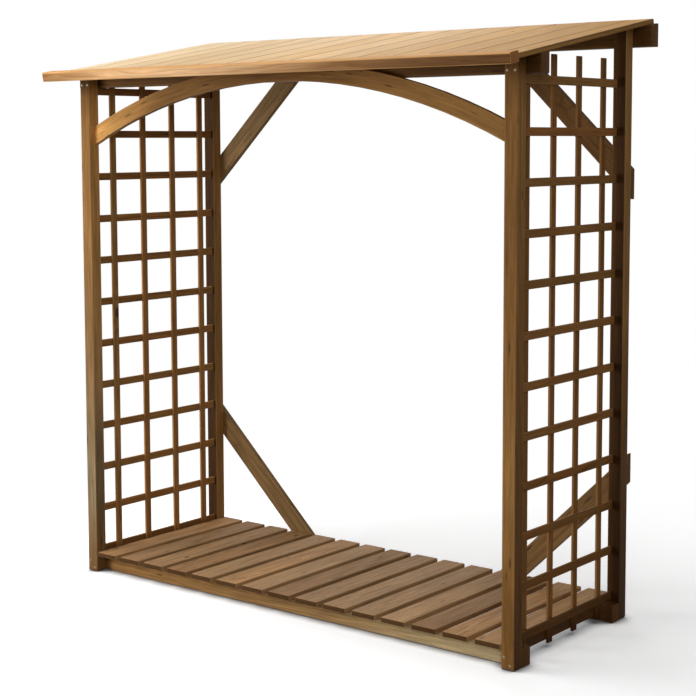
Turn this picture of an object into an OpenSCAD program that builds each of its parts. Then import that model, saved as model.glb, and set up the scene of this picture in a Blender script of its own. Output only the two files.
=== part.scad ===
// Open timber log store: four posts, lattice sides, an arched front,
// knee-braced back, slatted floor and a boarded lean-to roof that falls to the front.
// Millimetres, +Z up, +Y to the back, origin on the ground under the middle of the whole.

/* [Frame] */
// Width over the outer faces of the posts
frame_w = 1820; // [1500:10:2200]
// Depth over the front and rear faces of the posts
frame_d = 680; // [520:10:900]
// Side of the square posts
post = 45; // [38:1:70]
// Front-to-back thickness of the top rails and the floor bearers
rail_t = 45; // [35:1:60]

/* [Roof] */
// Height of the front top rail's underside above the ground
front_clear = 1742; // [1500:1:2000]
// Height of the front top rail at its front face
front_rail_h = 57; // [45:1:90]
// Height of the rear top rail at its front face
rear_rail_h = 67; // [45:1:100]
// How far the rear top rail runs past the posts
rear_rail_overhang = 65; // [30:1:120]
// Slope of the roof in degrees
roof_pitch = 10; // [5:0.5:18]
// How far the roof runs past the posts at each side
side_overhang = 50; // [20:1:120]
// How far the front edge of the roof stands before the posts
eaves_overhang = 128; // [80:1:200]
// Cover width of one roof board
board_w = 135; // [90:1:180]
// Thickness of the roof boards
board_t = 15; // [12:1:25]
// How far a tongue stands out of a board's edge
tongue_w = 6; // [4:0.5:10]
// Thickness of a tongue
tongue_t = 4; // [3:0.5:8]
// Chamfer along the top edges of a roof board
board_chamfer = 1.5; // [0.5:0.5:3]
// Depth of the eaves batten along the slope
batten_d = 45; // [30:1:60]
// Height of the eaves batten square to the slope
batten_h = 33; // [28:1:50]
// Radius of the eaves batten's front top edge
batten_nose = 6; // [2:0.5:10]
// How far the eaves batten stands up over the boards
batten_lip = 9; // [2:0.5:12]
// How far the eaves batten runs past the boards at each end
batten_extra = 4; // [0:1:20]

/* [Arch] */
// Radius of the arch's lower edge
arch_r = 1960; // [1500:10:4000]
// Width of the arch across its curve
arch_w = 57; // [40:1:90]
// Thickness of the arch board
arch_t = 22; // [15:1:30]

/* [Lattice] */
// Spacing of the laths, centre to centre
lattice_pitch = 150; // [100:5:200]
// Width of a lath
lath_w = 26; // [18:1:40]
// Thickness of a lath
lath_t = 8; // [6:0.5:12]
// From the posts' outer faces to the outer faces of the level laths
lattice_inset = 29; // [20:1:30]
// Height of the upright laths over the middle of the top level lath
lattice_head = 79; // [70:1:100]
// Height of the upright laths' lower ends above the ground
lattice_foot = 14; // [5:1:30]

/* [Braces] */
// Width of the rear braces
brace_w = 70; // [50:1:100]
// Thickness of the rear braces
brace_t = 22; // [15:1:30]
// Angle of the braces from the level
brace_angle = 44; // [35:1:55]
// From the rear top rail's underside down to an upper brace's top edge at the post
upper_brace_drop = 384; // [250:1:500]
// From the floor bearers' top up to a lower brace's top edge at the post
lower_brace_rise = 484; // [300:1:550]

/* [Floor] */
// Height of the floor bearers
bearer_h = 57; // [40:1:90]
// Width of a floor slat
slat_w = 90; // [60:1:120]
// Thickness of a floor slat
slat_t = 16; // [12:1:30]
// Least gap between two floor slats
slat_gap = 25; // [15:1:60]
// Gap between the outermost floor slats and the posts
slat_side_gap = 4; // [2:1:15]
// Height of the cleats under the outermost floor slats
cleat_h = 33; // [20:1:40]
// Thickness of the cleats
cleat_t = 22; // [15:1:30]

/* [Hidden] */
$fn = 96;
// Play round a tongue in its groove
joint_play = 0.3;
// How far crossing laths are let into each other
lath_let = 0.5;
// Gap between the upright laths' heads and the roof
lattice_roof_gap = 2;
// Least length of an upright lath below the lowest level lath's middle
lattice_tail = 40;

// Places from front to back, with the origin midway between the eaves and the rear rail's back
front_y = (eaves_overhang - frame_d - rail_t) / 2;
rear_y = front_y + frame_d;
front_rail_y = front_y + post;
front_bearer_y = front_y + post;
rear_bearer_y = rear_y - post - rail_t;

// Places across the width
outer_x = frame_w / 2;
inner_x = outer_x - post;
roof_w = frame_w + 2 * side_overhang;

// The roof's underside, which bears on the front rail's top front edge
front_rail_top = front_clear + front_rail_h;
function under_z(y) = front_rail_top + (y - front_rail_y) * tan(roof_pitch);
rear_rail_z = under_z(rear_y) - rear_rail_h;

// Along the slope from the front rail's top front edge
batten_top = board_t + batten_lip;
batten_y = (batten_top * sin(roof_pitch) - post - eaves_overhang) / cos(roof_pitch);
board_y0 = batten_y + batten_d;
board_y1 = (frame_d + rail_t - post) / cos(roof_pitch);

// Boards are set out from the middle so that the ripped edge boards are as wide as they can be
edge_if_board_in_middle = (roof_w / 2 - board_w / 2) % board_w;
edge_if_joint_in_middle = (roof_w / 2) % board_w;
board_in_middle = edge_if_board_in_middle > edge_if_joint_in_middle;
boards_each_side = board_in_middle
    ? ceil((roof_w / 2 - board_w / 2) / board_w)
    : ceil(roof_w / 2 / board_w);
board_count = 2 * boards_each_side + (board_in_middle ? 1 : 0);
function board_left(i) = max(-roof_w / 2, (i - 1 - board_count / 2) * board_w);
function board_right(i) = min(roof_w / 2, (i - board_count / 2) * board_w);

// Lattice panels
panel_d = frame_d - 2 * post;
panel_mid_y = front_y + frame_d / 2;
upright_count = floor((panel_d - lath_w) / lattice_pitch) + 1;
function upright_y(k) = panel_mid_y + (k - (upright_count - 1) / 2) * lattice_pitch - lath_w / 2;
lattice_top = under_z(upright_y(0)) - lattice_roof_gap;
top_lath_z = lattice_top - lattice_head;
lath_count = floor((top_lath_z - lattice_foot - lattice_tail) / lattice_pitch) + 1;
level_lath_x = outer_x - lattice_inset - lath_t;
upright_lath_x = level_lath_x - lath_t + lath_let;

// Braces
brace_plumb = brace_w / cos(brace_angle);
brace_slope = tan(brace_angle);

// Floor slats, spread evenly between the posts
floor_half_w = inner_x - slat_side_gap;
slat_count = floor((2 * floor_half_w + slat_gap) / (slat_w + slat_gap));
slat_pitch = (2 * floor_half_w - slat_w) / (slat_count - 1);

timber = "#7a5530";
lath_timber = "#5f4022";
roof_timber = "#c9a26b";
floor_timber = "#8a6a42";

// Extrudes an outline given as [y, z] along X from x0 for w
module side_profile(points, x0, w) {
    translate([x0, 0, 0])
        rotate([90, 0, 90])
            linear_extrude(w)
                polygon(points);
}

// Extrudes an outline given as [x, z] along Y from y0 for t
module front_profile(points, y0, t) {
    translate([0, y0 + t, 0])
        rotate([90, 0, 0])
            linear_extrude(t)
                polygon(points);
}

// Upright or level timber whose top is planed to the roof's slope
module under_roof(x0, w, y0, t, z0) {
    side_profile([
        [y0, z0],
        [y0 + t, z0],
        [y0 + t, under_z(y0 + t)],
        [y0, under_z(y0)]
    ], x0, w);
}

// Frame that lies in the roof's underside: X across, Y up the slope
module on_slope() {
    translate([0, front_rail_y, front_rail_top])
        rotate([roof_pitch, 0, 0])
            children();
}

module corner_post(x0, y0) {
    color(timber) under_roof(x0, post, y0, post, 0);
}
module front_left_post() { corner_post(-outer_x, front_y); }
module front_right_post() { corner_post(inner_x, front_y); }
module rear_left_post() { corner_post(-outer_x, rear_y - post); }
module rear_right_post() { corner_post(inner_x, rear_y - post); }

module front_top_rail() {
    color(timber) under_roof(-roof_w / 2, roof_w, front_rail_y, rail_t, front_clear);
}

module rear_top_rail() {
    half = outer_x + rear_rail_overhang;
    color(timber) under_roof(-half, 2 * half, rear_y, rail_t, rear_rail_z);
}

module floor_bearer(y0) {
    color(floor_timber) translate([-outer_x, y0, 0]) cube([frame_w, rail_t, bearer_h]);
}
module front_floor_bearer() { floor_bearer(front_bearer_y); }
module rear_floor_bearer() { floor_bearer(rear_bearer_y); }

// Cleat from bearer to bearer under the outermost slat, that the right lattice's feet are fixed to
module floor_cleat() {
    y0 = front_bearer_y + rail_t;
    color(floor_timber)
        translate([upright_lath_x - cleat_t, y0, bearer_h - cleat_h])
            cube([cleat_t, rear_bearer_y - y0, cleat_h]);
}
module right_floor_cleat() { floor_cleat(); }
module left_floor_cleat() { mirror([1, 0, 0]) floor_cleat(); }

// Square lattice of the right side: level laths outside, upright laths inside
module lattice_panel() {
    color(lath_timber) union() {
        for (k = [0 : lath_count - 1])
            translate([level_lath_x, front_y + post, top_lath_z - k * lattice_pitch - lath_w / 2])
                cube([lath_t, panel_d, lath_w]);
        for (k = [0 : upright_count - 1])
            translate([upright_lath_x, upright_y(k), lattice_foot])
                cube([lath_t, lath_w, lattice_top - lattice_foot]);
    }
}
module right_lattice() { lattice_panel(); }
module left_lattice() { mirror([1, 0, 0]) lattice_panel(); }

// Curved board against the front rail's face, cut plumb at the posts and level under the roof
module front_arch() {
    arch_y = front_rail_y - arch_t;
    springing_z = front_clear - arch_r + sqrt(arch_r * arch_r - inner_x * inner_x);
    color(timber)
        translate([0, front_rail_y, 0])
            rotate([90, 0, 0])
                linear_extrude(arch_t)
                    intersection() {
                        translate([0, front_clear - arch_r])
                            difference() {
                                circle(arch_r + arch_w);
                                circle(arch_r);
                            }
                        translate([-inner_x, springing_z])
                            square([2 * inner_x, under_z(arch_y) - springing_z]);
                    }
}

// Board on the rear faces of the posts, from the right post's outer face up to the rear rail
module upper_brace() {
    top_z = rear_rail_z - upper_brace_drop;
    low_z = top_z - brace_plumb;
    color(timber) front_profile([
        [outer_x, top_z],
        [outer_x, low_z],
        [outer_x - (rear_rail_z - low_z) / brace_slope, rear_rail_z],
        [outer_x - (rear_rail_z - top_z) / brace_slope, rear_rail_z]
    ], rear_y, brace_t);
}
module upper_right_brace() { upper_brace(); }
module upper_left_brace() { mirror([1, 0, 0]) upper_brace(); }

// Board on the rear faces of the posts, from the right post's outer face down to the slats' ends
module lower_brace() {
    top_z = bearer_h + lower_brace_rise;
    low_z = top_z - brace_plumb;
    color(timber) front_profile([
        [outer_x, top_z],
        [outer_x, low_z],
        [outer_x - (low_z - bearer_h) / brace_slope, bearer_h],
        [outer_x - (top_z - bearer_h) / brace_slope, bearer_h]
    ], rear_y, brace_t);
}
module lower_right_brace() { lower_brace(); }
module lower_left_brace() { mirror([1, 0, 0]) lower_brace(); }

// End view of the eaves batten, rounded at its front top edge
module batten_outline() {
    square([batten_d, batten_h - batten_nose]);
    translate([batten_nose, 0]) square([batten_d - batten_nose, batten_h]);
    translate([batten_nose, batten_h - batten_nose]) circle(batten_nose);
}

module eaves_batten() {
    half = roof_w / 2 + batten_extra;
    color(roof_timber) on_slope()
        translate([-half, batten_y, batten_top - batten_h])
            rotate([90, 0, 90])
                linear_extrude(2 * half)
                    batten_outline();
}

// End view of a roof board from x0 to x1, with its groove on the left and its tongue on the right
function board_outline(x0, x1, grooved, tongued) = concat(
    [[x0, 0], [x1, 0]],
    tongued ? [
        [x1, (board_t - tongue_t) / 2],
        [x1 + tongue_w, (board_t - tongue_t) / 2],
        [x1 + tongue_w, (board_t + tongue_t) / 2],
        [x1, (board_t + tongue_t) / 2]
    ] : [],
    [
        [x1, board_t - board_chamfer],
        [x1 - board_chamfer, board_t],
        [x0 + board_chamfer, board_t],
        [x0, board_t - board_chamfer]
    ],
    grooved ? [
        [x0, (board_t + tongue_t) / 2 + joint_play],
        [x0 + tongue_w + joint_play, (board_t + tongue_t) / 2 + joint_play],
        [x0 + tongue_w + joint_play, (board_t - tongue_t) / 2 - joint_play],
        [x0, (board_t - tongue_t) / 2 - joint_play]
    ] : []
);

module roof_board(i) {
    outline = board_outline(board_left(i), board_right(i), i > 1, i < board_count);
    color(roof_timber) on_slope() front_profile(outline, board_y0, board_y1 - board_y0);
}

module floor_slat(i) {
    x0 = -floor_half_w + (i - 1) * slat_pitch;
    color(floor_timber) translate([x0, front_y, bearer_h]) cube([slat_w, frame_d, slat_t]);
}

front_left_post();
front_right_post();
rear_left_post();
rear_right_post();
front_top_rail();
rear_top_rail();
front_floor_bearer();
rear_floor_bearer();
left_floor_cleat();
right_floor_cleat();
left_lattice();
right_lattice();
front_arch();
upper_left_brace();
upper_right_brace();
lower_left_brace();
lower_right_brace();
eaves_batten();
for (i = [1 : board_count])
    roof_board(i);
for (i = [1 : slat_count])
    floor_slat(i);
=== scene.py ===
"""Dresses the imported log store: eased and grained timbers, fixings, and a plain studio stage."""

import math
import random

import bmesh
import bpy
from mathutils import Matrix, Vector, noise


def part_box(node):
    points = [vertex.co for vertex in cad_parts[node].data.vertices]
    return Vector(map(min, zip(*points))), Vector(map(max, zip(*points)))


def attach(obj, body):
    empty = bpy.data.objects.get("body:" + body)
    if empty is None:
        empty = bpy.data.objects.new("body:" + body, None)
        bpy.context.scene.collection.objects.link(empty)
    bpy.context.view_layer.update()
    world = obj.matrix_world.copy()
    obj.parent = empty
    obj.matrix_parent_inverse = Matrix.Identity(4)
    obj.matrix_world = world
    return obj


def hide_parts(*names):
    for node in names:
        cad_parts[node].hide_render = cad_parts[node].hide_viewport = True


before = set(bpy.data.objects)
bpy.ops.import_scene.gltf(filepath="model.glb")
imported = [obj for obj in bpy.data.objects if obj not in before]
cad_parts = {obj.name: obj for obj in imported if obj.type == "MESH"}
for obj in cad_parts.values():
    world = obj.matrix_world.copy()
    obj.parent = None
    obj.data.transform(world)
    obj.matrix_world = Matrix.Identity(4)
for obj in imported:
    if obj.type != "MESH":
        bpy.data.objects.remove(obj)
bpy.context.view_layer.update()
# The timbers bow the same way each run
noise.seed_set(1)

bl_info = {
    "name": "Log store",
    "version": (1, 0, 0),
    "blender": (4, 5, 0),
    "location": "View3D > Sidebar > Log store",
    "description": "Dresses an open timber log store with grained timbers and fixings",
    "category": "Object",
}

BODY = "root"
AXIS_X = Vector((1, 0, 0))
AXIS_Y = Vector((0, 1, 0))
AXIS_Z = Vector((0, 0, 1))
# Two measures this close, in metres, are the same place
SAME_PLACE = 0.0002
# First seed of each group of pieces, and the step from one lattice to the other
SEEDS = {
    "posts": 11,
    "rails": 21,
    "bearers": 31,
    "cleats": 35,
    "lattices": 40,
    "level_laths": 400,
    "upright_laths": 430,
    "arch": 51,
    "braces": 61,
    "batten": 71,
    "roof": 80,
    "roof_boards": 800,
    "floor": 90,
    "floor_slats": 900,
    "fixings": 100,
}
LATTICE_SEED_STEP = 50

# Steps in a rounded corner, the angle from which an edge stays sharp, the spacing of a timber's rings, and
# the fewest spans between them
ARC_STEPS = 3
SMOOTH_LIMIT = math.radians(50)
RING_SPAN = 0.08
LEAST_SPANS = 4
# Which part of a timber a ring belongs to
START, INSIDE, STOP = range(3)
# An end cut square, and how far the ends of timbers, laths, roof boards and posts' heads are eased
PLAIN_CUT = (0.0, 0.0)
END_EASE = (0.0015, 0.0015)
LATH_EASE = (0.0008, 0.0008)
BOARD_EASE = (0.0006, 0.001)
HEAD_EASE = 0.001
# Where the middle of an eased end lies as a share of its depth, how far it is end grain there, and how fast
# the wear fades across it
EASE_MIDDLE = 0.29
EASE_END_GRAIN = 0.3
EASE_WEAR_FADE = 0.4
# How far the wear of an arris reaches into the flats of timbers, laths and roof boards, and of an end into
# all of them. A flat narrower than so many margins has no clean wood between its arrises.
ARRIS_MARGIN = 0.004
LATH_MARGIN = 0.003
BOARD_MARGIN = 0.0025
END_MARGIN = 0.006
LEAST_FLAT_MARGINS = 2.5
# Corners of a tongue or a groove are left sharp
SHARP = [0.0] * 4
# Where in a trunk a timber was sawn, in metres: along it, aside of its heart, and least and most above or
# below it
TRUNK_LENGTH = 40
HEART_ASIDE = 0.05
HEART_OFF = (0.02, 0.08)
# Bends in a metre of a bowed timber, and how far apart the bows of two timbers are taken
BOW_REPEATS = 1.3
BOW_SEED_STEP = 7.31

# Finishes, named for the material and how its surface was made
FRAME_WOOD = "Planed softwood, brown dip"
LATH_WOOD = "Sawn softwood laths, dark dip"
SLAT_WOOD = "Planed softwood decking, weathered"
BEARER_WOOD = "Planed softwood bearers, greyed"
ROOF_WOOD = "Planed softwood boards, golden"
BATTEN_WOOD = "Planed softwood batten, reddish"
ZINC = "Zinc-plated steel"
RUST = "Rusted steel"
# How each wood was worked and what that gives the eye: metres between two whorls of knots, how dark its
# drying checks are, the share of cells that are split, roughness, specular level, and contrast of the grain
GRAINS = {
    # Planed square and dipped: clear grain with a few splits, and a low sheen
    FRAME_WOOD: dict(knot_gap=0.5, checks=0.8, splits=0.25, roughness=0.6, gloss=0.06, figure=0.27),
    # Left from the saw and dipped twice: even and dull
    LATH_WOOD: dict(knot_gap=0.6, checks=0.3, splits=0.0, roughness=0.66, gloss=0.04, figure=0.22),
    # Planed, then trodden and rained on: knotty, checked and dull
    SLAT_WOOD: dict(knot_gap=0.4, checks=0.8, splits=0.08, roughness=0.66, gloss=0.05, figure=0.26),
    # Planed and laid on the ground: the most knots and checks, bleached and dull
    BEARER_WOOD: dict(knot_gap=0.3, checks=1.0, splits=0.2, roughness=0.66, gloss=0.05, figure=0.24),
    # Planed smooth and little weathered: quiet grain with a soft sheen
    ROOF_WOOD: dict(knot_gap=0.55, checks=0.35, splits=0.02, roughness=0.55, gloss=0.08, figure=0.14),
    # Planed and rounded over: broad warm figure with a soft sheen
    BATTEN_WOOD: dict(knot_gap=0.55, checks=0.5, splits=0.08, roughness=0.6, gloss=0.08, figure=0.2),
}
# Plating that has dulled outdoors glints softly, and rust doesn't glint at all: roughness and metallic
STEELS = {ZINC: (0.5, 0.7), RUST: (0.75, 0.0)}
# Worn arrises: how pure their colour is and how much of it shows, on the frame and along the roof's joints
RUBBED_EDGE = (0.35, 0.75)
JOINT_EDGE = (0.9, 1.8)

# Patterns of the wood as repeats in a metre, along the grain and both ways across it: the heart's wander
# (770 by 170 mm), blotches of the dip (390 by 77 mm), drying checks (670 by 24 mm), cells that may hold a
# split (83 by 13 mm), and the length of fibre streaks (200 mm) and of growth bands (170 mm)
WANDER_REPEATS = (1.3, 6.0, 6.0)
BLOTCH_REPEATS = (2.6, 13.0, 13.0)
CHECK_REPEATS = (1.5, 42.0, 42.0)
SPLIT_REPEATS = (12.0, 80.0, 80.0)
STREAK_REPEATS = 5.0
BAND_REPEATS = 6.0
# How far the heart wanders, and a knot's cell across the grain, its greatest radius, what a length along
# the grain counts for in it, so that it is drawn out that way, and the share of cells without one
HEART_WANDER = 0.024
KNOT_CELL = 0.075
KNOT_RADIUS = 0.012
KNOT_STRETCH = 0.55
KNOT_FREE = 0.45
# Across one growth ring: pale early wood that darkens to late wood, and the sharp step to the next ring
RING_RAMP = ((0.0, 0.15), (0.5, 0.29), (0.86, 0.72), (0.95, 0.62), (1.0, 0.18))
# A hairline where a noise passes its middle value
HAIRLINE_RAMP = ((0.0, 0.0), (0.488, 0.0), (0.5, 1.0), (0.512, 0.0), (1.0, 0.0))
# How far knots and checks cover the wood, how far sawn ends take their own colour, and the grain's relief
SPOT_COVER = 0.8
END_COVER = 0.9
RELIEF_STRENGTH = 0.25
RELIEF_DEPTH = 0.0009
# Spangle of about two millimetres on steel, as repeats in a metre
SPANGLE_REPEATS = 450.0
# Settings that several nodes share
RGBA = {"data_type": "RGBA"}
TINT = {"data_type": "RGBA", "blend_type": "MULTIPLY"}
SMOOTH = {"interpolation_type": "SMOOTHSTEP"}
# What the timber finishes read from each vertex besides its place in the grain
READINGS = ("tone", "dip", "grey", "wear", "cut_end")

# The posts: how far each is golden wood on the front and the side, then how dark from foot to top on both.
# The darkness is partly painted shade: the rear posts, the right-hand sides and the feet are darker for it
POSTS = {
    "front_left_post": (
        0.42,
        0.72,
        (0.45, 0.06, 0.0, 0.2, 0.24, 0.16, 0.16, 0.14, 0.17),
        (0.6, 0.1, 0.0, 0.0, 0.0),
    ),
    "front_right_post": (
        0.3,
        0.29,
        (0.24, 0.24, 0.0, 0.02, 0.16, 0.22, 0.27, 0.24, 0.38),
        (0.85, 0.5, 0.28, 0.1, 0.05),
    ),
    "rear_left_post": (0.05, 0.3, (0.85, 0.85, 0.85), (0.0, 0.0, 0.0)),
    "rear_right_post": (0.08, 0.3, (1.4, 1.15, 1.1), (1.2, 0.15, 0.0)),
}
# Tone and dip of the sides that face back or away
BACK_TONE = 0.25
BACK_DIP = 0.1
# How much lighter the rear right post's front is near its inner edge: a painted highlight on its arris
INNER_EDGE_HIGHLIGHTS = {"rear_right_post": 0.5}
# How much darker the front and the side of the front posts are near their tops, as painted shadow of the
# eaves, and the shares of a post's height at which that begins and is complete
EAVES_SHADOW_DIPS = {"front_left_post": (1.35, 0.5), "front_right_post": (0.15, 0.75)}
EAVES_SHADE = (0.945, 0.985)
# How grey the front left post is from foot to top
POST_GREYS = {"front_left_post": (0.35, 0.9, 0.85, 0.55, 0.3, 0.15, 0.05, 0.0, 0.0)}
# How dark each rail is between the posts and where it runs on past them, partly painted shade under the roof
RAILS = {"front_top_rail": (0.4, 0.9), "rear_top_rail": (0.35, 0.6)}
RAIL_TONE = 0.1
# The bearers from left to right: how far they have greyed, how dark they are, and how dark past the posts.
# The darkness is partly painted shade, on the rear bearer under the floor and on the ends past the posts
BEARERS = {
    "front_floor_bearer": ((0.0, 0.0, 0.1, 0.25, 0.8, 1.0), (0.6, 0.38, 0.4, 0.38, 0.2, 0.15), 1.12),
    "rear_floor_bearer": ((0.1, 0.1), (0.8, 0.8), 1.4),
}
BEARER_BACK_DIP = 0.4
# The cleats are darkened as painted shade under the floor and behind the lattice
CLEAT_SHADE_DIP = 1.2
# The laths of the right (1) and left (-1) lattice: how dark the level ones are from the lowest to the
# highest, and each upright one from its foot to its top. The darkness is partly painted shade, most on the
# right lattice
LATTICES = {1: "right_lattice", -1: "left_lattice"}
LEVEL_DIPS_AND_SHADE = {1: (0.42, 0.25, 0.22), -1: (0.1, 0.1, 0.32)}
UPRIGHT_DIPS_AND_SHADE = {1: (0.3, 0.36, 0.42, 0.46), -1: (0.1, 0.05, 0.05, 0.18)}
# What damp and painted shade add near the ground to the lowest level laths and the upright ones' feet
LOWEST_LATH_DAMP_AND_SHADE = 0.4
LATH_FOOT_DAMP_AND_SHADE = 1.0
LATH_FOOT = 0.02
# How far the laths differ: out of place in metres, in the tone of level and upright ones, and in dip
LATH_SLACK = 0.0012
LEVEL_TONE_SPREAD = 0.8
UPRIGHT_TONE_SPREAD = 0.6
LATH_DIP_SPREAD = 0.12
# The arch from left to right: how far it is golden wood, its left end partly a painted pool of light, and
# how dark the dip made it, partly painted shadow of the eaves at the crown
ARCH_TONES_AND_LIGHT = (1.0, 0.23, 0.3, 0.42, 0.28, 0.28)
ARCH_DIPS_AND_SHADE = (0.0, 0.15, 0.4, 0.4, 0.02, 0.02)
# The braces: how far each is golden wood, how dark from its level end to the post, and how grey
BRACES = {
    "upper_left_brace": (0.45, (0.0, 0.0, 0.25), 0.55),
    "upper_right_brace": (0.2, (0.35, 0.4, 0.45), 0.1),
    "lower_left_brace": (0.32, (0.1, 0.1, 0.3), 0.4),
    "lower_right_brace": (0.27, (0.1, 0.15, 0.3), 0.3),
}
# The eaves batten's front from left to right: how far it is red wood and how dark the dip made it, partly
# painted light that is brightest at the left and falls off to painted shade at the right, then both for its
# other faces
BATTEN_TONES_AND_LIGHT = (0.3, 0.8, 1.0, 0.9, 0.6, 0.5, 0.5)
BATTEN_DIPS_AND_SHADE = (0.48, 0.02, 0.0, 0.18, 0.54, 0.95, 1.1)
BATTEN_BACK_TONE = 0.2
BATTEN_BACK_DIP = 0.1
# The roof boards from left to right: how far they are golden wood and how dark, the paler left boards partly
# a painted sheen, how far they differ in both and in length, and how dark the sawn edges of the outer two
# are
ROOF_TONES_AND_SHEEN = (0.0, 0.4, 0.75, 1.0)
ROOF_DIPS = (0.0, 0.0, 0.0, 0.04)
ROOF_TONE_SPREAD = 0.15
ROOF_DIP_SPREAD = 0.14
ROOF_LENGTH_SPREAD = 0.0025
RAKE_DIP = 0.45
# How far the floor slats differ in greyness and in dip
SLAT_TONE_SPREAD = 0.7
SLAT_DIP_SPREAD = 0.25

# Screws in the posts: how far over the undersides of the front and the rear rail, and in the feet how high,
# as shares of a bearer's height, and how far the lower one stands aside, as a share of half their spacing
FRONT_SCREW_RISE = 0.009
REAR_SCREW_RISE = 0.03
FOOT_SCREWS = (0.66, 0.24)
FOOT_SCREW_ASIDE = 0.6
# Screws in the braces: how far in from the post's outer face, how far up and down from the middle, and what
# share of that aside
BRACE_SCREW_IN = 0.0225
BRACE_SCREW_STEP = 0.02
BRACE_SCREW_SLANT = 0.3
# How far nails stand from a slat's edges, and how far nails and pins miss their marks
NAIL_IN = 0.02
NAIL_SHAKE = 0.006
PIN_SHAKE = 0.003
# A head: its sides, and as shares of its radius the widths of its shank and its flat top, the arms and
# waist of its cross recess at the top and the bottom, and the recess's depth. Then a nail's crown, as shares
# of the radius and of what stands proud, and the most that a head is turned.
HEAD_SIDES = 16
HEAD_SHANK = 0.4
HEAD_FLAT = 0.93
RECESS_TOP = (0.58, 0.2)
RECESS_BOTTOM = (0.46, 0.14)
RECESS_DEPTH = 0.35
CROWN_WIDTH = 0.5
CROWN_HEIGHT = 1.6
MOST_HEAD_TURN = 1.57

# Width of the camera's sensor in millimetres
SENSOR = 36.0
# The soft lamps: where each stands, how wide it is, and the setting that holds its power
LAMPS = {
    "key_lamp": ((-2.5, -2.9, 1.25), 2.0, "key_power"),
    "fill_lamp": ((3.7, -4.4, 2.4), 2.2, "fill_power"),
    "top_lamp": ((-1.9, -0.8, 4.6), 2.6, "top_power"),
    "back_lamp": ((-2.6, 4.0, 2.4), 2.4, "back_power"),
}
LAMP_AIM = Vector((0.0, 0.0, 0.95))
# The studio floor: its sides, how far it lies under the part, how far off it begins to fade to white and is
# white, and how far it has faded near the part
FLOOR_SIDES = 96
FLOOR_DROP = 0.001
FLOOR_FADE = (0.9, 2.6)
FLOOR_FADED = 0.42
# How open the floor is where the shade of what stands on it is deepest and where it ends, and how much
# light the deepest shade leaves
CONTACT_OPEN = (0.45, 0.95)
CONTACT_LEFT = 0.1
WHITE = (1.0, 1.0, 1.0, 1.0)


def linear(code):
    """Linear RGBA of an sRGB hex colour."""
    parts = [int(code[i : i + 2], 16) / 255 for i in (1, 3, 5)]
    return tuple(c / 12.92 if c <= 0.04045 else ((c + 0.055) / 1.055) ** 2.4 for c in parts) + (1.0,)


def number_prop(name, description, default, **kind):
    """A number that a user may change, with its unit or subtype."""
    return bpy.props.FloatProperty(name=name, description=description, default=default, **kind)


def length_prop(name, description, default):
    """A length in metres that a user may change."""
    return number_prop(name, description, default, unit="LENGTH", min=0.0)


def colour_prop(name, description, code):
    """A colour that a user may change."""
    return bpy.props.FloatVectorProperty(
        name=name, description=description, default=linear(code), subtype="COLOR", size=4, min=0.0, max=1.0
    )


class LogStoreTimber(bpy.types.PropertyGroup):
    """Edges and grain of the timbers."""

    arris: length_prop("Arris", "Radius of the eased edges of posts, rails and bearers", 0.003)
    board_arris: length_prop("Board arris", "Radius of the eased edges of braces, slats and arch", 0.002)
    joint_arris: length_prop("Joint arris", "Radius of the roof boards' edges along their joints", 0.003)
    under_arris: length_prop("Under arris", "Radius of the roof boards' lower edges", 0.0006)
    lath_arris: length_prop("Lath arris", "Radius of the eased edges of the laths", 0.001)
    nosing: length_prop("Nosing", "Radius of the eaves batten's front top edge", 0.006)
    foot_round: length_prop("Foot rounding", "How far the posts' feet are rounded off", 0.005)
    arch_width: length_prop("Arch width", "Width of the arch board across its curve", 0.057)
    tongue: length_prop("Tongue", "How far a roof board's tongue stands out", 0.006)
    tongue_thickness: length_prop("Tongue thickness", "Thickness of a roof board's tongue", 0.004)
    groove_play: length_prop("Groove play", "Play round a tongue in its groove", 0.0003)
    bow: length_prop("Bow", "Most that a timber wanders from straight", 0.0008)
    ring_width: length_prop("Growth ring", "Width of one growth ring of the softwood", 0.0028)
    streak_width: length_prop("Fibre streak", "Width of a fibre streak, drawn coarse to show", 0.0035)
    band_width: length_prop("Growth band", "Width of a band of faster or slower growth", 0.010)


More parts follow.
